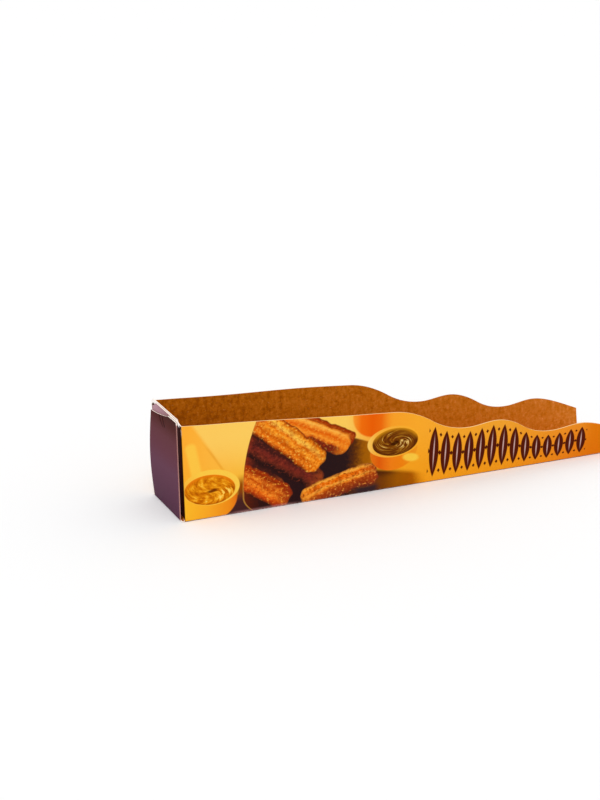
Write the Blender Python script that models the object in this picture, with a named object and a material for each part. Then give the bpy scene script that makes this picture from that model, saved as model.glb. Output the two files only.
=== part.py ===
# Open churro box: one blank of thin card, folded into a long tray.
# Metres, +Z up. The origin is on the resting surface, under the middle of the box.
# X runs from the closed end to the open end, and the front wall faces -Y.
# The blank is modelled as its outer face, folded panel by panel, then given its thickness.

import bpy
import bmesh
from math import pi, radians, sin, tan

BOARD = 0.0005                  # thickness of the card
LAYER_GAP = 0.0003              # air left between the two end flaps
CREASE_ROUND = 0.0007           # how far a fold is rounded back from its edge
CREASE_STRIP = 0.0018           # first strip of a panel beside a fold

FLOOR_LENGTH = 0.2256           # floor, from the closed end's fold to the open edge
FLOOR_WIDTH = 0.0400            # floor, between the two wall folds
CLOSED_LEAN = radians(2.1)      # outward lean of the walls where the closed end holds them
OPEN_LEAN = radians(7.2)        # and along the rest, where they spring apart
LEAN_STARTS = 0.020             # the lean grows between these distances from the closed end
LEAN_ENDS = 0.085
COLUMN_STEP = 0.0030            # spacing of the card's cross lines

# Top edge of both walls: distance from the closed end, height, slope.
WALL_TOP = (
    (0.0000, 0.0441, -0.075),   # closed end
    (0.1006, 0.0374, -0.080),   # end of the long slope
    (0.1201, 0.0304, -0.640),   # first fall
    (0.1391, 0.0247, 0.000),    # first trough
    (0.1531, 0.0261, 0.000),    # first crest
    (0.1686, 0.0208, -0.640),   # second fall
    (0.1846, 0.0164, 0.000),    # second trough
    (0.1996, 0.0180, 0.000),    # second crest
    (0.2176, 0.0134, -0.400),   # third fall
    (0.2256, 0.0101, -0.410),   # open end
)

FRONT_LAYER = 0.0014                    # where the front wall and its end flap start
BACK_LAYER = FRONT_LAYER + BOARD + LAYER_GAP    # where the back wall and its end flap start
END_TILT = 0.015                        # the flaps tilt outward by this much for each unit of height
TILT_ENDS = 0.030                       # and the walls follow them up to here
FLAP_TOP_FRONT = 0.0448                 # top edge of the end flaps, beside the front wall
FLAP_TOP_BACK = 0.0454                  # and beside the back wall
FRONT_FLAP_REACH = 0.0192               # how far across the end the front flap reaches
FRONT_FLAP_CUT = (0.0050, 0.0017)       # width and drop of its cut corner
BACK_FLAP_REACH = -0.0180
BACK_FLAP_CUT = (0.0025, 0.0025)

PANEL_FRONT = -0.0176                   # end panel's two side edges
PANEL_BACK = 0.0176
PANEL_BULGE = 0.0013                    # its back edge bows outward by this much
PANEL_TOP = 0.0446                      # full height beside the front corner
PANEL_STEP_AT = -0.0065                 # where the finger scoop starts
PANEL_STEP = 0.0003
PANEL_SCOOP_DEPTH = 0.0034              # how far the scoop has dropped at the back corner
PANEL_ROWS = 6

PRINTED_CARD = (0.80, 0.36, 0.05, 1.0)


def wall_top(x):
    # Height of the wavy top edge, a cubic between the named points.
    for (x0, z0, s0), (x1, z1, s1) in zip(WALL_TOP, WALL_TOP[1:]):
        if x <= x1:
            break
    span = x1 - x0
    t = min(max((x - x0) / span, 0.0), 1.0)
    blend = t * t * (3 - 2 * t)
    curve = z0 + (z1 - z0) * blend
    curve += span * s0 * t * (1 - t) ** 2
    curve -= span * s1 * t * t * (1 - t)
    return curve


def wall_lean(x):
    # Outward lean of a wall: held upright by the closed end, sprung apart further on.
    t = min(max((x - LEAN_STARTS) / (LEAN_ENDS - LEAN_STARTS), 0.0), 1.0)
    return CLOSED_LEAN + (OPEN_LEAN - CLOSED_LEAN) * t * t * (3 - 2 * t)


def flap_top(y):
    # Height of the end flaps' top edges, which climb a little towards the back wall.
    # Beside the front wall they start level with it.
    corner = WALL_TOP[0][1]
    top = FLAP_TOP_FRONT + (FLAP_TOP_BACK - FLAP_TOP_FRONT) * (y / FLOOR_WIDTH + 0.5)
    climb = (y + FLOOR_WIDTH / 2) / CREASE_STRIP - 1
    return corner + (top - corner) * min(max(climb, 0.0), 1.0)


def panel_top(y):
    # Height of the end panel's top edge: level, a small step, then the finger scoop.
    if y <= PANEL_STEP_AT:
        return PANEL_TOP
    t = (y - PANEL_STEP_AT) / (PANEL_BACK - PANEL_STEP_AT)
    return PANEL_TOP - PANEL_STEP - PANEL_SCOOP_DEPTH * t * (1.6 - 0.6 * t)


def column_stations():
    # Cross lines of the floor: the layer lines at the closed end, then even steps.
    steps = round((FLOOR_LENGTH - BACK_LAYER) / COLUMN_STEP)
    pitch = (FLOOR_LENGTH - BACK_LAYER) / steps
    return [0.0, FRONT_LAYER] + [BACK_LAYER + pitch * i for i in range(steps + 1)]


def floor_lines():
    # Long lines of the floor: its folds, the end panel's sides and its top edge's points.
    half = FLOOR_WIDTH / 2
    step = PANEL_STEP_AT
    middle = (PANEL_FRONT + step) / 2
    scoop = [step + (PANEL_BACK - step) * part / 5 for part in (1, 2, 3, 4)]
    return [-half, PANEL_FRONT, middle, step, step + PANEL_STEP] + scoop + [PANEL_BACK, half]


def extrude(bm, edges, place):
    # Extrude a chain of edges and move the new points. Returns the new chain.
    made = bmesh.ops.extrude_edge_only(bm, edges=edges)["geom"]
    points = [item for item in made if isinstance(item, bmesh.types.BMVert)]
    for point in points:
        point.co = place(*point.co)
    fresh = set(points)
    return [item for item in made
            if isinstance(item, bmesh.types.BMEdge) and fresh.issuperset(item.verts)]


def edges_where(bm, test):
    return [edge for edge in bm.edges
            if edge.is_boundary and all(test(*point.co) for point in edge.verts)]


def near(a, b):
    return abs(a - b) < 1e-6


def add_floor(bm):
    columns = column_stations()
    points = [bm.verts.new((columns[0], y, 0.0)) for y in floor_lines()]
    line = [bm.edges.new(pair) for pair in zip(points, points[1:])]
    for column in columns[1:]:
        line = extrude(bm, line, lambda x, y, z, column=column: (column, y, z))


def add_wall(bm, side, start):
    # side is -1 for the front wall and 1 for the back wall.
    fold = side * FLOOR_WIDTH / 2

    def at_height(x, z):
        return (x, fold + side * z * tan(wall_lean(x)), z)

    def to_strip(x, y, z):
        return at_height(x, CREASE_STRIP)

    def to_top(x, y, z):
        return at_height(x, wall_top(x))

    edges = edges_where(bm, lambda x, y, z: near(y, fold) and near(z, 0.0) and x > start - 1e-6)
    strip = extrude(bm, edges, to_strip)
    extrude(bm, strip, to_top)


def add_flap(bm, side, start, reach, cut):
    # End flap folded in from a wall's closed end edge, towards the other wall.
    # Its top edge starts at the wall's corner, follows flap_top and ends in a cut corner.
    cut_width, cut_drop = cut

    def across(x, y, z, drop=0.0):
        return (x, y, flap_top(y) - drop if z > FLAP_TOP_FRONT / 2 else z)

    def to_next_strip(x, y, z):
        return across(x, y - side * CREASE_STRIP, z)

    def to_corner(x, y, z):
        return across(x, reach + side * cut_width, z)

    def to_reach(x, y, z):
        return across(x, reach, z, cut_drop)

    def on_wall_edge(x, y, z):
        return near(x, start) and side * y > FLOOR_WIDTH / 2 and z > CREASE_STRIP - 1e-6

    line = edges_where(bm, on_wall_edge)
    for place in (to_next_strip, to_next_strip, to_corner, to_reach):
        line = extrude(bm, line, place)


def add_end_panel(bm):
    def row_place(part):
        def place(x, y, z):
            across = (y - PANEL_FRONT) / (PANEL_BACK - PANEL_FRONT)
            return (-PANEL_BULGE * across * sin(pi * part), y, panel_top(y) * part)
        return place

    def on_fold(x, y, z):
        return near(x, 0.0) and PANEL_FRONT - 1e-6 < y < PANEL_BACK + 1e-6 and near(z, 0.0)

    line = edges_where(bm, on_fold)
    for row in range(1, PANEL_ROWS + 1):
        line = extrude(bm, line, row_place(row / PANEL_ROWS))


def tilt_closed_end(bm):
    # The flaps tilt outward and take the walls' ends with them. The floor stays flat.
    for point in bm.verts:
        if point.co.x > FRONT_LAYER / 2:
            t = min(point.co.x / TILT_ENDS, 1.0)
            point.co.x -= END_TILT * point.co.z * (1 - t * t * (3 - 2 * t))


def centre(bm):
    # Move the origin to the middle of the box's footprint.
    xs = [point.co.x for point in bm.verts]
    ys = [point.co.y for point in bm.verts]
    shift = (-(min(xs) + max(xs)) / 2, -(min(ys) + max(ys)) / 2, 0.0)
    bmesh.ops.translate(bm, verts=bm.verts, vec=shift)


def face_outward(bm):
    # The floor's faces look down, and every panel follows the floor.
    bmesh.ops.recalc_face_normals(bm, faces=bm.faces)
    floor_face = max(bm.faces, key=lambda face: abs(face.normal.z))
    if floor_face.normal.z > 0:
        bmesh.ops.reverse_faces(bm, faces=bm.faces)


def card_material():
    material = bpy.data.materials.new("printed_card")
    material.use_nodes = True
    shader = material.node_tree.nodes["Principled BSDF"]
    shader.inputs["Base Color"].default_value = PRINTED_CARD
    shader.inputs["Roughness"].default_value = 0.45
    shader.inputs["Metallic"].default_value = 0.0
    return material


def build_tray():
    bm = bmesh.new()
    add_floor(bm)
    add_wall(bm, -1, FRONT_LAYER)
    add_wall(bm, 1, BACK_LAYER)
    add_flap(bm, -1, FRONT_LAYER, FRONT_FLAP_REACH, FRONT_FLAP_CUT)
    add_flap(bm, 1, BACK_LAYER, BACK_FLAP_REACH, BACK_FLAP_CUT)
    add_end_panel(bm)
    tilt_closed_end(bm)
    face_outward(bm)
    centre(bm)

    mesh = bpy.data.meshes.new("tray")
    bm.to_mesh(mesh)
    bm.free()
    mesh.materials.append(card_material())
    tray = bpy.data.objects.new("tray", mesh)
    bpy.context.scene.collection.objects.link(tray)

    folds = tray.modifiers.new("folds", "BEVEL")
    folds.width = CREASE_ROUND
    folds.segments = 2
    folds.limit_method = "ANGLE"
    folds.angle_limit = radians(50)

    card = tray.modifiers.new("card", "SOLIDIFY")
    card.thickness = BOARD
    card.offset = -1.0
    card.use_even_offset = True
    return tray


for old in list(bpy.data.objects):
    bpy.data.objects.remove(old, do_unlink=True)

build_tray()
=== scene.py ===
from math import atan2, cos, hypot, pi, radians, sin, tan

import bmesh
import bpy
from mathutils import Matrix, Vector


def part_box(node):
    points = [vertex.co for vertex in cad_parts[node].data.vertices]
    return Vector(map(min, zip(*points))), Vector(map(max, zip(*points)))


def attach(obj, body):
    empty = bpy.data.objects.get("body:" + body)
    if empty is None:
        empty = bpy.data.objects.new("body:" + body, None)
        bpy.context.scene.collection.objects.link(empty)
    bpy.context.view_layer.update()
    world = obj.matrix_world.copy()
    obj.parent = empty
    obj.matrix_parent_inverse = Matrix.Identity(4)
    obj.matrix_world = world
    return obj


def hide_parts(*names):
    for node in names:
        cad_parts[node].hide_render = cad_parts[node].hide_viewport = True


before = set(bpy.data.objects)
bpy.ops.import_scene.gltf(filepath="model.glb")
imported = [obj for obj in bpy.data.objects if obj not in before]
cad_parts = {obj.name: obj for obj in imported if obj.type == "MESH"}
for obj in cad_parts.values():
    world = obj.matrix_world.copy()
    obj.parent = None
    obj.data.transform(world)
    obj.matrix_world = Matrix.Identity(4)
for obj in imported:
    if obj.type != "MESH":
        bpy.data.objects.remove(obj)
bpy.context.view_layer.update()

print("frame loaded")

mm = 0.001

# ---- shader sums ----


def fillRamp(ramp, stops):
    while len(ramp.elements) < len(stops):
        ramp.elements.new(1.0)
    for element, (place, tone) in zip(ramp.elements, stops):
        element.position = place
        element.color = tone


class Wire:
    # a shader socket: sums on it add Math nodes, and node() adds any other

    def __init__(self, tree, socket=None):
        self.tree = tree
        self.socket = socket

    def node(self, kind, settings=None, sockets=None, output=0):
        made = self.tree.nodes.new(kind)
        for name, value in (settings or {}).items():
            if name == "stops":
                fillRamp(made.color_ramp, value)
            else:
                setattr(made, name, value)
        for name, value in (sockets or {}).items():
            if isinstance(value, Wire):
                self.tree.links.new(value.socket, made.inputs[name])
            else:
                made.inputs[name].default_value = value
        return Wire(self.tree, made.outputs[output])

    def out(self, output):
        return Wire(self.tree, self.socket.node.outputs[output])

    def math(self, operation, *values):
        return self.node("ShaderNodeMath", {"operation": operation}, dict(enumerate(values)))

    def vector(self, operation, *values, output=0):
        return self.node("ShaderNodeVectorMath", {"operation": operation}, dict(enumerate(values)), output)

    def __add__(self, other):
        return self.math("ADD", self, other)

    def __radd__(self, other):
        return self.math("ADD", other, self)

    def __sub__(self, other):
        return self.math("SUBTRACT", self, other)

    def __rsub__(self, other):
        return self.math("SUBTRACT", other, self)

    def __mul__(self, other):
        return self.math("MULTIPLY", self, other)

    def __rmul__(self, other):
        return self.math("MULTIPLY", other, self)

    def __truediv__(self, other):
        return self.math("DIVIDE", self, other)

    def __abs__(self):
        return self.math("ABSOLUTE", self)

    def fade(self, none, full):
        # 0 at none, 1 at full, smooth between
        return self.node("ShaderNodeMapRange", {"interpolation_type": "SMOOTHSTEP"},
                         {"Value": self, "From Min": none, "From Max": full})

    def ramp(self, stops):
        return self.node("ShaderNodeValToRGB", {"stops": stops}, {0: self})

    def blend(self, first, second):
        # this wire is how much of the second colour shows
        return self.node("ShaderNodeMix", {"data_type": "RGBA"}, {0: self, 6: first, 7: second}, 2)

    def noise(self, size, detail=2.0, roughness=0.5, stretch=None):
        # this wire is a place; size is the width of a blotch
        place = self if stretch is None else self.vector("MULTIPLY", self, stretch)
        return self.node("ShaderNodeTexNoise", {"noise_dimensions": "3D"},
                         {"Vector": place, "Scale": 1 / size, "Detail": detail, "Roughness": roughness})


def ink(red, green, blue):
    # a colour as a screen shows it, 0 to 255, for a shader
    parts = [part / 255 for part in (red, green, blue)]
    return tuple(part / 12.92 if part <= 0.04045 else ((part + 0.055) / 1.055) ** 2.4 for part in parts) + (1.0,)


def newMaterial(name):
    material = bpy.data.materials.new(name)
    material.use_nodes = True
    shader = material.node_tree.nodes["Principled BSDF"]
    return material, shader, Wire(material.node_tree)


def joinTo(shader, name, wire):
    wire.tree.links.new(wire.socket, shader.inputs[name])


def bump(wire, strength, distance):
    return wire.node("ShaderNodeBump", None, {"Height": wire, "Strength": strength, "Distance": distance})


# ---- the printed picture: places are in mm, along the tray and up its wall ----
# across runs from the lower side to the upper; ends are the tones of the near and far end
churroTones = {
    "lit": {
        "across": [(0.00, ink(84, 28, 12)), (0.06, ink(186, 78, 12)), (0.17, ink(246, 132, 26)),
                   (0.32, ink(206, 92, 4)), (0.48, ink(255, 158, 38)), (0.60, ink(232, 114, 8)),
                   (0.74, ink(255, 196, 74)), (0.86, ink(250, 154, 32)), (0.94, ink(206, 94, 4)),
                   (1.00, ink(150, 58, 8))],
        "pale": ink(255, 196, 80), "deep": ink(178, 70, 4), "ends": (ink(206, 86, 20), ink(250, 138, 22))},
    "twoRidges": {
        "across": [(0.00, ink(96, 30, 20)), (0.24, ink(122, 36, 18)), (0.31, ink(210, 96, 20)),
                   (0.42, ink(252, 152, 42)), (0.54, ink(240, 122, 22)), (0.64, ink(226, 96, 6)),
                   (0.75, ink(250, 150, 44)), (0.85, ink(255, 184, 74)), (0.94, ink(226, 118, 20)),
                   (1.00, ink(170, 66, 6))],
        "pale": ink(255, 190, 74), "deep": ink(200, 76, 2), "ends": (ink(250, 146, 44), ink(250, 138, 30))},
    "red": {
        "across": [(0.00, ink(120, 34, 6)), (0.40, ink(186, 64, 6)), (0.62, ink(232, 120, 30)),
                   (0.76, ink(176, 58, 2)), (0.90, ink(150, 50, 4)), (1.00, ink(150, 84, 8))],
        "pale": ink(240, 150, 60), "deep": ink(140, 34, 2), "ends": (ink(190, 70, 10), ink(150, 46, 8))},
    "shade": {
        "across": [(0.00, ink(36, 20, 20)), (0.14, ink(46, 24, 22)), (0.26, ink(98, 38, 26)),
                   (0.42, ink(122, 42, 30)), (0.56, ink(110, 38, 30)), (0.70, ink(70, 28, 24)),
                   (1.00, ink(66, 30, 24))],
        "pale": ink(146, 60, 38), "deep": ink(60, 24, 20), "ends": (ink(170, 56, 20), ink(176, 78, 30))},
    "corner": {
        "across": [(0.00, ink(110, 42, 20)), (0.12, ink(190, 66, 14)), (0.26, ink(240, 112, 22)),
                   (0.38, ink(244, 134, 34)), (0.50, ink(204, 84, 8)), (0.62, ink(236, 128, 34)),
                   (0.74, ink(182, 70, 12)), (0.84, ink(140, 44, 8)), (0.92, ink(170, 60, 12)),
                   (1.00, ink(80, 24, 18))],
        "pale": ink(252, 172, 62), "deep": ink(160, 46, 8), "ends": (ink(180, 50, 10), ink(150, 46, 20))},
    "lying": {
        "across": [(0.00, ink(70, 36, 34)), (0.12, ink(128, 50, 28)), (0.30, ink(160, 62, 20)),
                   (0.45, ink(182, 74, 14)), (0.53, ink(236, 126, 26)), (0.60, ink(255, 178, 62)),
                   (0.70, ink(240, 114, 10)), (0.82, ink(236, 110, 4)), (0.91, ink(255, 180, 62)),
                   (1.00, ink(236, 140, 40))],
        "pale": ink(255, 168, 70), "deep": ink(140, 48, 8), "ends": (ink(252, 154, 40), ink(166, 62, 22))},
}

# from and to are the ends of the middle line; bow lifts its middle; spots is how mottled it is
churros = [
    {"from": (54, 42.0), "to": (80.5, 27.4), "half": 3.0, "corner": 2.0, "bow": 0.0, "tone": "red", "spots": 0.5},
    {"from": (43, 41.2), "to": (77.6, 24.4), "half": 5.6, "corner": 4.2, "bow": 0.6, "tone": "twoRidges",
     "spots": 0.5},
    {"from": (26, 24.6), "to": (46.0, 9.4), "half": 3.4, "corner": 2.4, "bow": 0.0, "tone": "shade", "spots": 0.4},
    {"from": (27, 33.4), "to": (65.2, 8.8), "half": 4.8, "corner": 3.4, "bow": 0.0, "tone": "shade",
     "spots": 0.8},
    {"from": (24.5, 19.2), "to": (49.4, 2.4), "half": 5.9, "corner": 4.2, "bow": 0.4, "tone": "corner",
     "spots": 0.9},
    {"from": (33, 44.2), "to": (64.6, 17.2), "half": 6.5, "corner": 4.4, "bow": 0.4, "tone": "lit",
     "spots": 1.0},
    {"from": (56.2, 0.2), "to": (92.4, 9.8), "half": 5.8, "corner": 3.8, "bow": 1.3, "tone": "lying",
     "spots": 1.0},
]
lyingFrom = 6                                   # this one and later ones lie outside the paper

cups = [
    {"rim": (13.3, 14.2), "rimSize": (13.1, 8.2), "dip": (12.8, 13.2), "dipSize": (11.7, 7.0), "tilt": -0.06,
     "body": (11.6, 9.0), "bodySize": (13.8, 11.0), "speck": (14.0, 12.6), "glint": (20.4, 11.6),
     "curl": 1.2, "grain": 0.30, "tone": "caramel"},
    {"rim": (100.2, 23.4), "rimSize": (13.2, 7.6), "dip": (100.9, 23.2), "dipSize": (11.6, 6.8), "tilt": -0.03,
     "body": (100.4, 19.0), "bodySize": (12.0, 9.8), "speck": (100.8, 22.6), "glint": (105.4, 22.2),
     "curl": 4.4, "grain": 0.24, "tone": "chocolate"},
]

cupTones = {
    "caramel": {
        "body": [(0.0, ink(254, 192, 44)), (0.5, ink(250, 172, 38)), (0.85, ink(244, 146, 26)),
                 (0.96, ink(236, 124, 24)), (1.0, ink(206, 100, 16))],
        "rim": [(0.0, ink(252, 184, 60)), (0.3, ink(254, 204, 70)), (1.0, ink(254, 206, 76))],
        "wall": ink(238, 128, 12),
        "dip": [(0.0, ink(150, 66, 2)), (0.28, ink(190, 98, 2)), (0.48, ink(216, 126, 8)),
                (0.64, ink(240, 156, 20)), (0.80, ink(250, 182, 48)), (1.0, ink(255, 214, 96))],
        "speck": ink(112, 42, 2),
    },
    "chocolate": {
        "body": [(0.0, ink(232, 120, 20)), (0.2, ink(228, 94, 12)), (0.45, ink(245, 130, 22)),
                 (0.7, ink(245, 134, 16)), (1.0, ink(242, 156, 34))],
        "rim": [(0.0, ink(253, 204, 96)), (0.16, ink(250, 180, 62)), (0.6, ink(253, 178, 50)),
                (1.0, ink(253, 174, 40))],
        "wall": ink(204, 134, 18),
        "dip": [(0.0, ink(52, 18, 0)), (0.30, ink(92, 40, 6)), (0.52, ink(118, 60, 8)),
                (0.66, ink(146, 88, 10)), (0.80, ink(184, 130, 40)), (1.0, ink(236, 200, 120))],
        "speck": ink(60, 20, 0),
    },
}

gold = {
    "top": [(0.000, ink(255, 172, 48)), (0.150, ink(255, 200, 78)), (0.340, ink(255, 206, 92)),
            (0.420, ink(252, 160, 40)), (0.500, ink(253, 172, 44)), (0.700, ink(243, 164, 48)),
            (0.890, ink(240, 152, 44)), (0.925, ink(224, 122, 8)), (1.000, ink(222, 117, 7))],
    "bottom": [(0.000, ink(253, 178, 36)), (0.100, ink(250, 182, 38)), (0.130, ink(247, 180, 33)),
               (0.500, ink(250, 165, 30)), (0.700, ink(246, 158, 28)), (0.860, ink(238, 134, 26)),
               (0.925, ink(228, 120, 11)), (1.000, ink(224, 116, 8))],
    "pale": ink(255, 208, 98),
    "handle": ink(255, 204, 72),
    "orange": [(0.0, ink(252, 160, 46)), (0.2, ink(244, 112, 12)), (0.45, ink(237, 96, 5)),
               (0.65, ink(240, 108, 12)), (1.0, ink(252, 158, 40))],
    "lip": ink(255, 210, 70),
}

ornament = {
    "from": 118.0,
    "to": 203.5,
    "count": 14,
    "low": 2.4,                                 # clear of the fold
    "margin": 2.0,                              # clear of the top edge
    "width": 0.40,                              # of a lozenge, as a share of its pitch
    "beadHeights": (0.5, 0.12, 0.88),
    "brown": ink(84, 24, 8),
    "sliver": ink(222, 184, 176),
}

printDulling = 0.90                             # printed ink is a little duller than the tones above


def turned(place, centre, angle=0.0, size=(1.0, 1.0)):
    # a place seen from a shape's own middle, along its own length
    return place.node("ShaderNodeMapping", {"vector_type": "TEXTURE"},
                      {"Vector": place, "Location": (centre[0], centre[1], 0), "Rotation": (0, 0, angle),
                       "Scale": (size[0], size[1], 1)})


def bar(place, start, end, half, corner, bow=0.0):
    # how far outside a round-cornered bar a place is, and the place along and across it
    (x0, z0), (x1, z1) = start, end
    long = hypot(x1 - x0, z1 - z0) / 2
    local = turned(place, ((x0 + x1) / 2, (z0 + z1) / 2), atan2(z1 - z0, x1 - x0))
    parts = local.node("ShaderNodeSeparateXYZ", None, {0: local})
    if bow:
        across = parts.out(1) - bow + parts * parts * (bow / long ** 2)
        local = parts.node("ShaderNodeCombineXYZ", None, {0: parts, 1: across})
    else:
        across = parts.out(1)
    over = place.vector("MAXIMUM", place.vector("SUBTRACT", place.vector("ABSOLUTE", local),
                                                (long - corner, half - corner, 0)), (0, 0, 0))
    outside = place.vector("LENGTH", over, output=1) - corner
    return outside, parts / long, across / half


def oval(place, centre, size, angle=0.0):
    local = turned(place, centre, angle, size)
    return place.vector("LENGTH", local, output=1), local


def addChurro(picture, under, churro, inside=1.0):
    tones = churroTones[churro["tone"]]
    outside, along, across = bar(picture["ragged"], churro["from"], churro["to"], churro["half"],
                                 churro["corner"], churro["bow"])
    part = across * 0.5 + 0.5 + (picture["crumb"] - 0.5) * 0.16
    tone = part.ramp(tones["across"])
    reach = 4.0 / hypot(churro["to"][0] - churro["from"][0], churro["to"][1] - churro["from"][1])
    tone = (along.fade(1 - 4 * reach, 1.0) * 0.75).blend(tone, tones["ends"][1])
    tone = (along.fade(4 * reach - 1, -1.0) * 0.75).blend(tone, tones["ends"][0])
    tone = (picture["patch"].fade(0.50, 0.36) * churro["spots"] * 0.45).blend(tone, tones["deep"])
    tone = (picture["mottle"].fade(0.53, 0.68) * churro["spots"] * 0.85).blend(tone, tones["pale"])
    tone = (picture["mottle"].fade(0.48, 0.33) * churro["spots"] * 0.75).blend(tone, tones["deep"])
    tone = (outside.fade(-1.1, 0.1) * 0.5).blend(tone, tones["across"][0][1])
    return (outside.fade(0.3, -0.3) * inside).blend(under, tone)


def addCup(picture, under, cup):
    tones = cupTones[cup["tone"]]
    place = picture["place"]
    body, bodyPlace = oval(place, cup["body"], cup["bodySize"])
    side = bodyPlace.node("ShaderNodeSeparateXYZ", None, {0: bodyPlace}) * 0.5 + 0.5
    shown = body.fade(1.02, 0.97).blend(under, side.ramp(tones["body"]))
    rim, rimPlace = oval(place, cup["rim"], cup["rimSize"], cup["tilt"])
    rimSide = rimPlace.node("ShaderNodeSeparateXYZ", None, {0: rimPlace}) * 0.5 + 0.5
    shown = rim.fade(1.03, 0.98).blend(shown, rimSide.ramp(tones["rim"]))
    dip, dipPlace = oval(place, cup["dip"], cup["dipSize"], cup["tilt"])
    height = dipPlace.node("ShaderNodeSeparateXYZ", None, {0: dipPlace}, 1)
    # the sauce lies in patches and curls about its middle
    curl = (height.node("ShaderNodeVectorRotate", {"rotation_type": "Z_AXIS"},
                        {"Vector": dipPlace, "Angle": dip * cup["curl"]}))
    curl = curl.noise(cup["grain"], 3.0, 0.65, stretch=(0.6, 1.4, 1.0))
    depth = (curl - 0.5) * 2.1 + 0.54
    glint, glintPlace = oval(place, cup["glint"], (4.6, 2.8), 0.5)
    depth = depth + glint.fade(1.2, 0.1) * (curl.fade(0.44, 0.56) * 0.5)
    shore = dip.fade(0.72, 1.0)
    depth = depth - shore * 0.22
    sauce = depth.ramp(tones["dip"])
    sauce = (shore * height.fade(-0.1, 0.55)).blend(sauce, tones["wall"])
    speck, speckPlace = oval(picture["ragged"], cup["speck"], (2.6, 1.1), 0.25)
    sauce = (speck.fade(1.3, 0.5) * 0.95).blend(sauce, tones["speck"])
    return dip.fade(1.02, 0.97).blend(shown, sauce)


def goldField(picture):
    x, z, place = picture["x"], picture["z"], picture["place"]
    along = x / 224
    tone = z.fade(30, 4).blend(along.ramp(gold["top"]), along.ramp(gold["bottom"]))
    # a slanted pale field behind the first cup, and the cup's handle
    slant = x - 6 - (43 - z) * 0.62
    pale = slant.fade(-1.0, 1.6) * x.fade(60, 34) * z.fade(17, 37)
    tone = (pale * 0.85).blend(tone, gold["pale"])
    line = abs(slant + 0.4).fade(1.0, 0.2) * z.fade(36, 29) * z.fade(20, 23)
    tone = (line * 0.35).blend(tone, ink(226, 140, 20))
    handle = bar(place, (4.4, 35.4), (7.6, 18), 2.4, 2.0)[0]
    return (handle.fade(0.9, -1.0) * 0.8).blend(tone, gold["handle"])


def paperSide(picture):
    # how far right of the paper cone's left side a place is
    high = picture["z"].math("MAXIMUM", picture["z"] - 12, 0.0)
    low = picture["z"].math("MAXIMUM", 7 - picture["z"], 0.0)
    return picture["x"] - high * high * 0.0070 - low * low * 0.095 - 28.2


def addPaper(picture, under, side, inside):
    # the dark inside of the paper cone behind the churros, its pale edge, and the cup's shadow beside it
    x, z = picture["x"], picture["z"]
    shade = (x + z.math("MAXIMUM", 9 - z, 0.0) * 1.2).fade(24.0, 26.4) * side.fade(0.2, -0.6) * z.fade(19, 13)
    under = shade.blend(under, z.fade(5, 13).blend(ink(70, 36, 36), ink(150, 74, 4)))
    edge = abs(side).fade(0.5, 0.1) * z.fade(19, 14) * 0.65
    top = (z + x * 0.40 - 60.5).fade(0.6, -0.6)
    right = x.fade(94, 88)
    tone = ((x - 28) / 66 + (picture["crumb"] - 0.5) * 0.10).ramp([
        (0.00, ink(96, 34, 16)), (0.12, ink(50, 24, 22)), (0.50, ink(40, 23, 26)), (0.74, ink(44, 26, 26)),
        (0.80, ink(92, 46, 14)), (0.87, ink(160, 92, 6)), (1.00, ink(182, 108, 6))])
    shown = (inside * top * right).blend(under, tone)
    return edge.blend(shown, ink(164, 112, 58))


def addOrangeCup(picture, under):
    # the underside of a third cup, cut off by the wall's top edge
    cup, place = oval(picture["place"], (90.0, 38.6), (11.0, 11.4))
    side = place.node("ShaderNodeSeparateXYZ", None, {0: place}) * 0.5 + 0.5
    left = picture["x"].fade(101, 93)
    return (cup.fade(1.03, 0.93) * left).blend(under, side.ramp(gold["orange"]))


def addTable(picture, under):
    # the dark table edge along the bottom, under the cups
    x, z = picture["x"], picture["z"]
    here = x.fade(84, 92) * (x + z * 0.5).fade(121, 112) * (z + (x - 100) * 0.22).fade(10.6, 7.8)
    tone = ((x - 88) / 30 + (picture["crumb"] - 0.5) * 0.1).ramp([
        (0.0, ink(110, 46, 22)), (0.25, ink(124, 64, 8)), (0.5, ink(160, 90, 3)), (0.75, ink(172, 92, 2)),
        (1.0, ink(232, 146, 14))])
    tone = (x.fade(106, 98) * z.fade(5.5, 9.5) * 0.8).blend(tone, ink(70, 30, 9))
    shown = here.blend(under, tone)
    low = x.fade(78, 84) * x.fade(95, 91) * z.fade(5.0, 2.0)
    return low.blend(shown, ink(58, 38, 42))


def addLip(picture, under):
    # the second cup's pale pouring lip
    lip, place = oval(picture["place"], (109.2, 14.3), (4.8, 2.3), -0.22)
    return (lip.fade(1.1, 0.6) * 0.9).blend(under, gold["lip"])


def addOrnament(picture, under):
    # a row of tall lozenges with beads between them, as high as the wall allows
    pitch = (ornament["to"] - ornament["from"]) / ornament["count"]
    cell = (picture["x"] - ornament["from"]) / pitch
    inRow = cell.fade(0.0, 0.02) * cell.fade(ornament["count"], ornament["count"] - 0.02)
    across = abs(cell - cell.math("FLOOR", cell) - 0.5)
    height = (picture["z"] - ornament["low"]) / (picture["edgeHeight"] - ornament["low"] - ornament["margin"])
    tip = abs(height * 2 - 1)
    lozenge = (1 - tip.math("POWER", tip, 2.2)) * ornament["width"] - across
    shown = (lozenge.fade(-0.03, 0.03) * inRow).blend(under, ornament["brown"])
    sliver = (0.055 - across - tip * 0.05).fade(-0.03, 0.04) * tip.fade(0.85, 0.3)
    shown = (sliver * inRow * 0.9).blend(shown, ornament["sliver"])
    for beadHeight in ornament["beadHeights"]:
        size = 0.15 if beadHeight == 0.5 else 0.12
        bead = size - (0.5 - across) - abs(height - beadHeight) * 2.6
        shown = (bead.fade(-0.03, 0.03) * inRow).blend(shown, ornament["brown"])
    return shown


printStart = 0.0006                             # where the print's own measure starts on the blank


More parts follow.
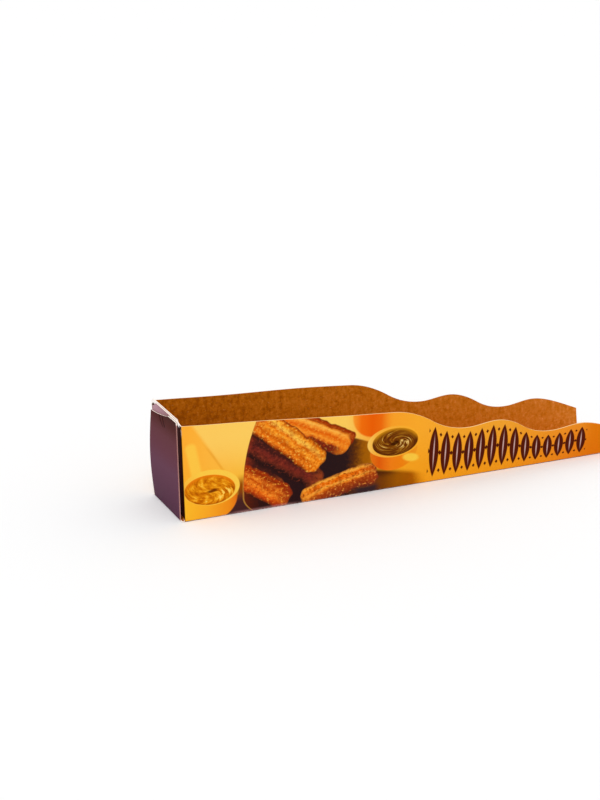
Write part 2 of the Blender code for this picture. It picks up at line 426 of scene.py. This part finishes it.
def makePicture(start):
    flat = start.node("ShaderNodeUVMap", {"uv_map": "blank"})
    parts = start.node("ShaderNodeSeparateXYZ", None, {0: flat})
    edge = start.node("ShaderNodeSeparateXYZ", None, {0: start.node("ShaderNodeUVMap", {"uv_map": "edge"})})
    x = (parts - printStart) / mm
    z = abs(parts.out(1)) / mm - 20
    place = start.node("ShaderNodeCombineXYZ", None, {0: x, 1: z})
    wobble = place.noise(4.5, 1.0)
    shift = place.vector("MULTIPLY", place.vector("SUBTRACT", wobble.out(1), (0.5, 0.5, 0.5)), (2.4, 2.4, 0))
    return {
        "x": x,
        "z": z,
        "score": edge,
        "place": place,
        "ragged": place.vector("ADD", place, shift),
        "crumb": place.noise(1.6, 3.0, 0.65),
        "mottle": place.noise(1.3, 3.0, 0.68),
        "patch": place.noise(4.0, 2.0, 0.6),
        "edgeHeight": edge.out(1) / mm,
        "across": parts.out(1) / mm,
    }


def plainCard(picture):
    # the dark print outside the walls: the end panel, and the flaps behind it, with painted sheen and painted shade
    # worked into their colours
    x, z = picture["x"], picture["z"]
    # the end panel is lighter and purpler midway up and browner at its top: print, partly painted sheen
    panel = (x / -45 + (picture["crumb"] - 0.5) * 0.06).ramp([
        (0.00, ink(84, 46, 68)), (0.45, ink(102, 60, 80)), (0.62, ink(102, 54, 68)), (0.78, ink(100, 52, 60)),
        (0.90, ink(82, 32, 30)), (1.00, ink(66, 24, 18))])
    # the front flap: painted shade, near black, beside its fold where it lies in the gap by the panel, and painted
    # sheen, pale lavender, further from the fold
    reach = (1.5 - x) / 36
    front = reach.ramp([(0.00, ink(30, 4, 2)), (0.08, ink(40, 8, 6)), (0.40, ink(150, 108, 112)),
                        (1.00, ink(184, 142, 154))])
    back = ink(74, 26, 10)
    flap = picture["across"].fade(-1, 1).blend(front, back)
    # pale near the flaps' top edges, standing for the white of the layers' cut edges, raised to white as a painted
    # highlight against the shade of the narrow gap
    below = picture["edgeHeight"] - z
    paleMarks = picture["across"].fade(-1, 1).blend(
        below.fade(1.5, 1.0) * x.fade(-14.5, -13.0) * x.fade(-0.6, -1.8), below.fade(2.0, 1.4))
    flap = paleMarks.blend(flap, ink(255, 250, 246))
    return z.fade(-0.1, 0.3).blend(panel, flap)


def printedCard():
    material, shader, start = newMaterial("printedCard")
    picture = makePicture(start)
    side = paperSide(picture)
    inside = side.fade(-0.25, 0.35)
    tone = goldField(picture)
    tone = addOrangeCup(picture, tone)
    tone = addPaper(picture, tone, side, inside)
    tone = addTable(picture, tone)
    for churro in churros[:lyingFrom]:
        tone = addChurro(picture, tone, churro, inside)
    for churro in churros[lyingFrom:]:
        tone = addChurro(picture, tone, churro)
    for cup in cups:
        tone = addCup(picture, tone, cup)
    tone = addLip(picture, tone)
    tone = addOrnament(picture, tone)
    onWall = picture["z"].fade(-0.05, 0.35) * (picture["x"] - 0.9).fade(-0.1, 0.3)
    tone = onWall.blend(plainCard(picture), tone)
    # the ink cracks pale along the folds, most at the top of the corner
    along = abs(picture["z"]).fade(0.75, 0.2) * picture["x"].fade(0.0, 1.0)
    along = along * ((picture["x"] / 224).ramp([
        (0.0, ink(70, 70, 70)), (0.10, ink(200, 200, 200)), (0.24, ink(200, 200, 200)), (0.50, ink(90, 90, 90)),
        (0.86, ink(90, 90, 90)), (0.95, ink(180, 180, 180))]))
    # a lavender-pink band along the bottom fold: painted sheen on the fold's rounding, partly wear
    foldSheenAndWear = picture["z"].fade(1.7, 0.3) * picture["x"].fade(20, 26) * picture["x"].fade(58, 46)
    tone = (foldSheenAndWear * onWall * 0.6).blend(tone, ink(176, 124, 124))
    corner = abs(picture["x"] - 0.8).fade(0.6, 0.1) * picture["z"].fade(38, 44) * 0.9
    paleMarks = along.math("MAXIMUM", along, corner) * picture["crumb"].fade(0.38, 0.6)
    tone = paleMarks.blend(tone, ink(232, 200, 186))
    # painted shade: the scored lines on the end panel are darkened near black, as if open into shadow
    tone = (picture["score"] * 0.9).blend(tone, ink(30, 4, 4))
    tone = tone.vector("SCALE", tone)
    tone.socket.node.inputs["Scale"].default_value = printDulling
    joinTo(shader, "Base Color", tone)
    joinTo(shader, "Roughness", 0.40 + picture["crumb"] * 0.10 + paleMarks * 0.3)
    joinTo(shader, "Normal", bump(picture["place"].noise(0.22, 2.0), 0.12, 0.00003))
    shader.inputs["Specular IOR Level"].default_value = 0.01
    print("printedCard nodes", len(material.node_tree.nodes))
    return material


def kraftInside():
    material, shader, start = newMaterial("kraftInside")
    flat = start.node("ShaderNodeUVMap", {"uv_map": "blank"})
    place = start.vector("SCALE", flat)
    place.socket.node.inputs["Scale"].default_value = 1 / mm
    parts = start.node("ShaderNodeSeparateXYZ", None, {0: place})
    streak = place.noise(2.2, 3.0, 0.6, stretch=(1.0, 0.35, 1.0))
    blotch = place.noise(2.2, 4.0, 0.75)
    fibre = place.noise(0.8, 3.0, 0.7, stretch=(0.5, 1.0, 1.0))
    # lighter towards the open end: painted shade in the deep closed end, with the streaks and blotches of the kraft on
    # top
    part = parts / 224 * 0.5 + 0.14 + (streak - 0.5) * 1.0 + (blotch - 0.5) * 1.6
    tone = part.ramp([(0.0, ink(156, 80, 0)), (0.25, ink(182, 100, 6)), (0.5, ink(196, 112, 22)),
                      (0.75, ink(206, 122, 42)), (1.0, ink(222, 142, 70))])
    tone = (fibre.fade(0.56, 0.74) * 0.3).blend(tone, ink(236, 168, 98))
    tone = (fibre.fade(0.44, 0.28) * 0.4).blend(tone, ink(140, 68, 8))
    joinTo(shader, "Base Color", tone)
    joinTo(shader, "Roughness", 0.82 + fibre * 0.15)
    joinTo(shader, "Normal", bump(fibre, 0.2, 0.00006))
    shader.inputs["Specular IOR Level"].default_value = 0.02
    return material


def cutEdge():
    # the plies of the board, from the ink to the kraft liner: whitest at the closed end
    material, shader, start = newMaterial("cutEdge")
    depth = start.node("ShaderNodeAttribute", {"attribute_name": "depth"}, output=2)
    fibre = start.node("ShaderNodeTexCoord", output=3).noise(0.0004, 3.0, 0.6)
    flat = start.node("ShaderNodeSeparateXYZ", None, {0: start.node("ShaderNodeUVMap", {"uv_map": "blank"})})
    part = depth + (fibre - 0.5) * 0.25
    white = part.ramp([(0.0, ink(250, 226, 206)), (0.2, ink(255, 244, 236)), (0.85, ink(255, 240, 228)),
                       (1.0, ink(232, 190, 150))])
    cream = part.ramp([(0.0, ink(255, 222, 150)), (0.35, ink(252, 226, 178)), (0.7, ink(222, 164, 96)),
                       (1.0, ink(190, 116, 44))])
    kraft = part.ramp([(0.0, ink(216, 150, 84)), (1.0, ink(184, 108, 34))])
    tone = (flat / mm).fade(0.5, 4.0).blend(white, flat.out(1).fade(-0.005, 0.005).blend(cream, kraft))
    # the end panel's side edges are tinted by handling
    beside = abs(abs(flat.out(1)) / mm - 17.6).fade(0.6, 0.3) * (flat / mm).fade(-43.8, -43.0)
    tone = ((flat / mm).fade(0.2, -0.2) * beside).blend(tone, ink(190, 136, 128))
    joinTo(shader, "Base Color", tone)
    joinTo(shader, "Roughness", 0.8 + fibre * 0.15)
    joinTo(shader, "Normal", bump(fibre, 0.4, 0.00006))
    shader.inputs["Specular IOR Level"].default_value = 0.1
    return material


# ---- the card blank's shape, in metres from the closed end's fold ----
blank = {
    "length": 0.2256,
    "width": 0.0400,
    "board": 0.0005,
    "foldRound": 0.0007,
    "closedLean": radians(2.1),
    "openLean": radians(7.2),
    "leanStarts": 0.020,
    "leanEnds": 0.085,
    "frontStart": 0.0014,
    "backStart": 0.0022,
    "endTilt": 0.015,
    "tiltEnds": 0.030,
    "columnStep": 0.0011,
    "wallRows": 16,
    "slack": 0.00025,
}

# distance from the closed end, height, slope
wallTopPoints = [
    (0.0000, 0.0441, -0.075),
    (0.1006, 0.0374, -0.080),
    (0.1201, 0.0304, -0.640),
    (0.1391, 0.0247, 0.000),
    (0.1531, 0.0261, 0.000),
    (0.1686, 0.0208, -0.640),
    (0.1846, 0.0164, 0.000),
    (0.1996, 0.0180, 0.000),
    (0.2176, 0.0134, -0.400),
    (0.2256, 0.0101, -0.410),
]

endPanel = {
    "front": -0.0176,
    "back": 0.0176,
    "top": 0.0446,
    "bulge": 0.00128,
    "stepAt": -0.0065,
    "step": 0.0003,
    "scoop": 0.0034,
    "scoreDepth": 0.00014,
    "scoreWidth": 0.0012,
}

# scored lines beside the scoop: lowest point, height, and how the line runs across as it climbs
scores = [
    {"low": (-0.0008, 0.0375), "rise": 0.0052, "run": 0.0119, "bend": -0.0058},
    {"low": (-0.0028, 0.0379), "rise": 0.0059, "run": 0.0070, "bend": -0.0022},
]

# cut is a corner's width and drop; climb is where the top edge leaves the wall's height, and over what length
flaps = {
    "topFront": 0.0448,
    "topBack": 0.0454,
    "clearFloor": 0.0018,
    "front": {"side": -1, "start": blank["frontStart"], "reach": 0.0192, "cut": (0.0064, 0.0027),
              "climb": (0.0016, 0.0020)},
    "back": {"side": 1, "start": blank["backStart"], "reach": -0.0180, "cut": (0.0025, 0.0025),
             "climb": (0.0002, 0.0022)},
}

trayLow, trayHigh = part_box("tray")
closedEnd = trayHigh.x - blank["length"]


def smoothStep(t):
    t = min(max(t, 0.0), 1.0)
    return t * t * (3 - 2 * t)


def wallTop(u):
    for (u0, z0, s0), (u1, z1, s1) in zip(wallTopPoints, wallTopPoints[1:]):
        if u <= u1:
            break
    span = u1 - u0
    t = min(max((u - u0) / span, 0.0), 1.0)
    height = z0 + (z1 - z0) * smoothStep(t)
    return height + span * t * (1 - t) * (s0 * (1 - t) - s1 * t)


def wallLean(u):
    t = (u - blank["leanStarts"]) / (blank["leanEnds"] - blank["leanStarts"])
    return blank["closedLean"] + (blank["openLean"] - blank["closedLean"]) * smoothStep(t)


def panelTop(v):
    if v <= endPanel["stepAt"]:
        return endPanel["top"]
    t = (v - endPanel["stepAt"]) / (endPanel["back"] - endPanel["stepAt"])
    return endPanel["top"] - endPanel["step"] - endPanel["scoop"] * t * (1.6 - 0.6 * t)


def flapTop(flap, d):
    # height of a flap's top edge at a distance from its fold
    half = blank["width"] / 2
    v = flap["side"] * (half - d)
    wallEdge = wallTop(flap["start"])
    straight = flaps["topFront"] + (flaps["topBack"] - flaps["topFront"]) * (v / blank["width"] + 0.5)
    climb = smoothStep((d - flap["climb"][0]) / flap["climb"][1])
    cutWidth, cutDrop = flap["cut"]
    cut = smoothStep((d - half + flap["side"] * flap["reach"] + cutWidth) / cutWidth)
    return (wallEdge + (straight - wallEdge) * climb - cutDrop * cut) / cos(wallLean(flap["start"]))


def scoreDepth(v, up):
    # how deep the scored lines press the end panel in
    deepest = 0.0
    for score in scores:
        t = (up - score["low"][1]) / score["rise"]
        line = score["low"][0] + score["run"] * t + score["bend"] * t * t
        away = abs(v - line) / endPanel["scoreWidth"]
        ends = smoothStep(t / 0.1) * smoothStep((1.1 - t) / 0.1)
        deepest = max(deepest, ends * smoothStep(1 - away))
    return deepest


def foldOver(s, turn):
    # a strip that runs along, turns by an arc about the fold line at s = 0, and runs on
    reach = blank["foldRound"] * tan(turn / 2)
    if s <= -reach:
        return s, 0.0
    if s >= reach:
        return s * cos(turn), s * sin(turn)
    angle = turn * (s + reach) / (2 * reach)
    return -reach + blank["foldRound"] * sin(angle), blank["foldRound"] * (1 - cos(angle))


def cardSlack(u, s):
    # card is never quite flat: slow waves that fade out at the folds
    grip = smoothStep(s / 0.012)
    wave = sin(u * 47 + 0.6) * cos(s * 60) + 0.6 * sin(u * 101 + 2.1 + s * 35)
    return blank["slack"] * grip * wave


def folded(u, v):
    # where a point of the flat blank lies once the tray is folded
    half = blank["width"] / 2
    side = -1 if v < 0 else 1
    start = blank["frontStart"] if side < 0 else blank["backStart"]
    s = abs(v) - half
    if s <= 0 and u < blank["foldRound"]:
        back, up = foldOver(-u, pi / 2)
        across = (v - endPanel["front"]) / (endPanel["back"] - endPanel["front"])
        part = min(max(up / panelTop(v), 0.0), 1.0)
        out = endPanel["bulge"] * across * sin(pi * part) - endPanel["scoreDepth"] * scoreDepth(v, up)
        return Vector((-back - out, v, up))
    wallU = max(u, start)
    out, up = foldOver(s, pi / 2 - wallLean(wallU))
    along, inward = foldOver(start - u, pi / 2) if s > 0 else (start - u, 0.0)
    out -= cardSlack(wallU, max(s, 0.0)) * smoothStep((wallU - start) / 0.012)
    x = start - along
    x -= blank["endTilt"] * up * (1 - smoothStep(x / blank["tiltEnds"]))
    return Vector((x, side * (half + out - inward), up))


def foldSteps(count=3):
    reach = blank["foldRound"]
    return [reach * step / count for step in range(count + 1)]


def extrudeLine(bm, line, place):
    made = bmesh.ops.extrude_edge_only(bm, edges=line)["geom"]
    points = [item for item in made if isinstance(item, bmesh.types.BMVert)]
    for point in points:
        point.co = place(point.co.x, point.co.y)
    fresh = set(points)
    return [item for item in made if isinstance(item, bmesh.types.BMEdge) and fresh.issuperset(item.verts)]


def edgesWhere(bm, test):
    return [edge for edge in bm.edges if edge.is_boundary and all(test(point.co.x, point.co.y) for point in edge.verts)]


def near(a, b):
    return abs(a - b) < 1e-6


def spread(low, high, count):
    return [low + (high - low) * step / count for step in range(1, count + 1)]


def floorColumns():
    arc = foldSteps()
    columns = arc + [blank["frontStart"] + step for step in arc]
    columns += [blank["backStart"] + step for step in arc]
    last = columns[-1]
    count = round((blank["length"] - last) / blank["columnStep"])
    columns += spread(last, blank["length"], count)
    return sorted({round(column, 7) for column in columns})


def floorLines():
    half = blank["width"] / 2
    arc = foldSteps()
    step = endPanel["stepAt"]
    lines = [-half + s for s in arc] + [half - s for s in arc]
    lines += [endPanel["front"]] + spread(endPanel["front"], step, 5) + [step + endPanel["step"]]
    lines += spread(step + endPanel["step"], -0.0044, 3) + spread(-0.0044, 0.0066, 36)
    lines += spread(0.0066, endPanel["back"], 6)
    return sorted({round(line, 7) for line in lines})


def addFloor(bm):
    columns = floorColumns()
    points = [bm.verts.new((columns[0], v, 0.0)) for v in floorLines()]
    line = [bm.edges.new(pair) for pair in zip(points, points[1:])]
    for column in columns[1:]:
        line = extrudeLine(bm, line, lambda u, v, column=column: Vector((column, v, 0.0)))


def addWall(bm, side, start):
    half = blank["width"] / 2

    def rowPlace(s):
        return lambda u, v: Vector((u, side * (half + s), 0.0))

    def share(part):
        def place(u, v):
            top = wallTop(u) / cos(wallLean(u))
            low = flaps["clearFloor"]
            return Vector((u, side * (half + low + (top - low) * part), 0.0))
        return place

    line = edgesWhere(bm, lambda u, v: near(v, side * half) and u > start - 1e-6)
    for s in foldSteps()[1:] + [flaps["clearFloor"]]:
        line = extrudeLine(bm, line, rowPlace(s))
    for row in range(1, blank["wallRows"] + 1):
        line = extrudeLine(bm, line, share(row / blank["wallRows"]))


def addFlap(bm, flap):
    half = blank["width"] / 2
    side, start, low = flap["side"], flap["start"], flaps["clearFloor"]
    full = half - side * flap["reach"]                    # length of the flap from its fold
    cutFrom = full - flap["cut"][0]

    def onFold(u, v):
        return near(u, start) and side * v > half + low - 1e-6

    def rowPlace(d):
        def place(u, v):
            part = (abs(v) - half - low) / (flapTop(flap, start - u) - low)
            return Vector((start - d, side * (half + low + (flapTop(flap, d) - low) * part), 0.0))
        return place

    line = edgesWhere(bm, onFold)
    for d in foldSteps()[1:] + spread(blank["foldRound"], cutFrom, 18) + spread(cutFrom, full, 8):
        line = extrudeLine(bm, line, rowPlace(d))


def addEndPanel(bm):
    def rowPlace(part):
        def place(u, v):
            return Vector((-panelTop(v) * part, v, 0.0))
        return place

    def arcPlace(s):
        return lambda u, v: Vector((-s, v, 0.0))

    low, high = endPanel["front"] - 1e-6, endPanel["back"] + 1e-6
    line = edgesWhere(bm, lambda u, v: near(u, 0.0) and low < v < high)
    for s in foldSteps()[1:]:
        line = extrudeLine(bm, line, arcPlace(s))
    for part in spread(0.05, 0.84, 18) + spread(0.84, 1.0, 24):
        line = extrudeLine(bm, line, rowPlace(part))


def edgeHeight(u, v):
    # how far up from its fold the card's top edge is, on the flat blank
    if v < 0 and u < blank["frontStart"]:
        return flapTop(flaps["front"], blank["frontStart"] - u)
    if v > 0 and u < blank["backStart"]:
        return flapTop(flaps["back"], blank["backStart"] - u)
    return wallTop(u) / cos(wallLean(u))


def writeMaps(bm):
    # the flat blank's place, and the depth of the scored lines with the height of the card's edge
    place = bm.loops.layers.uv.new("blank")
    edge = bm.loops.layers.uv.new("edge")
    half = blank["width"] / 2
    for face in bm.faces:
        for loop in face.loops:
            u, v = loop.vert.co.x, loop.vert.co.y
            score = scoreDepth(v, -u) if abs(v) < half else 0.0
            loop[place].uv = (u, v)
            loop[edge].uv = (score, edgeHeight(u, v))


def foldBlank(bm):
    shift = Vector((closedEnd, 0.0, 0.0))
    for point in bm.verts:
        point.co = folded(point.co.x, point.co.y) + shift


def makeObject(name, bm, materials):
    mesh = bpy.data.meshes.new(name)
    bm.to_mesh(mesh)
    bm.free()
    for material in materials:
        mesh.materials.append(material)
    made = bpy.data.objects.new(name, mesh)
    bpy.context.scene.collection.objects.link(made)
    return made


def applyModifiers(made):
    graph = bpy.context.evaluated_depsgraph_get()
    solid = bpy.data.meshes.new_from_object(made.evaluated_get(graph))
    old = made.data
    made.modifiers.clear()
    made.data = solid
    solid.name = made.name
    bpy.data.meshes.remove(old)


def buildTray(materials):
    bm = bmesh.new()
    addFloor(bm)
    addWall(bm, -1, blank["frontStart"])
    addWall(bm, 1, blank["backStart"])
    addFlap(bm, flaps["front"])
    addFlap(bm, flaps["back"])
    addEndPanel(bm)
    writeMaps(bm)
    bmesh.ops.recalc_face_normals(bm, faces=bm.faces)
    if max(bm.faces, key=lambda face: face.calc_area()).normal.z > 0:
        bmesh.ops.reverse_faces(bm, faces=bm.faces)
    foldBlank(bm)
    outerCount = len(bm.verts)
    made = makeObject("cardTray", bm, materials)
    card = made.modifiers.new("card", "SOLIDIFY")
    card.thickness = blank["board"]
    card.offset = -1.0
    card.use_even_offset = True
    card.material_offset = 1
    card.material_offset_rim = 2
    applyModifiers(made)
    # the outer points come first, and then the inner ones
    depth = made.data.attributes.new("depth", "FLOAT", "POINT")
    for index, item in enumerate(depth.data):
        item.value = 0.0 if index < outerCount else 1.0
    made.data.shade_smooth()
    made.data.set_sharp_from_angle(angle=radians(38))
    return made


tray = buildTray([printedCard(), kraftInside(), cutEdge()])
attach(tray, "root")
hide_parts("tray")
print("tray made", len(tray.data.polygons))

# ---- floor, lights and camera ----
view = {
    "place": Vector((-0.306525, -0.6180, 0.2433)),
    "ahead": Vector((0.37038, 0.88296, -0.28845)),
    "right": Vector((0.92004, -0.39147, -0.01694)),
    "lens": 69.75,
}

camera = bpy.data.objects.new("camera", bpy.data.cameras.new("camera"))
bpy.context.scene.collection.objects.link(camera)
camera.data.lens = view["lens"]
camera.data.sensor_width = 36.0
camera.data.clip_start = 0.01
camera.data.clip_end = 100.0
up = view["right"].cross(view["ahead"])
camera.matrix_world = Matrix.Translation(view["place"]) @ Matrix((view["right"], up, -view["ahead"])).transposed().to_4x4()
bpy.context.scene.camera = camera

bm = bmesh.new()
bmesh.ops.create_grid(bm, x_segments=1, y_segments=1, size=30.0)
groundMaterial, groundShader, groundStart = newMaterial("groundWhite")
groundShader.inputs["Base Color"].default_value = (0.9, 0.9, 0.9, 1)
groundShader.inputs["Roughness"].default_value = 0.9
ground = makeObject("ground", bm, [groundMaterial])

light = {
    "sky": 0.84,
    "sun": 1.1,
    "sunFrom": Vector((-0.55, -0.75, 1.3)),
    "sunSpread": radians(35),
}
world = bpy.data.worlds.new("world")
bpy.context.scene.world = world
world.use_nodes = True
world.node_tree.nodes["Background"].inputs["Color"].default_value = (1, 1, 1, 1)
world.node_tree.nodes["Background"].inputs["Strength"].default_value = light["sky"]
lamp = bpy.data.lights.new("sun", "SUN")
lamp.energy = light["sun"]
lamp.angle = light["sunSpread"]
sun = bpy.data.objects.new("sun", lamp)
bpy.context.scene.collection.objects.link(sun)
sun.rotation_euler = light["sunFrom"].to_track_quat("Z", "Y").to_euler()
bpy.context.scene.view_settings.view_transform = "Standard"
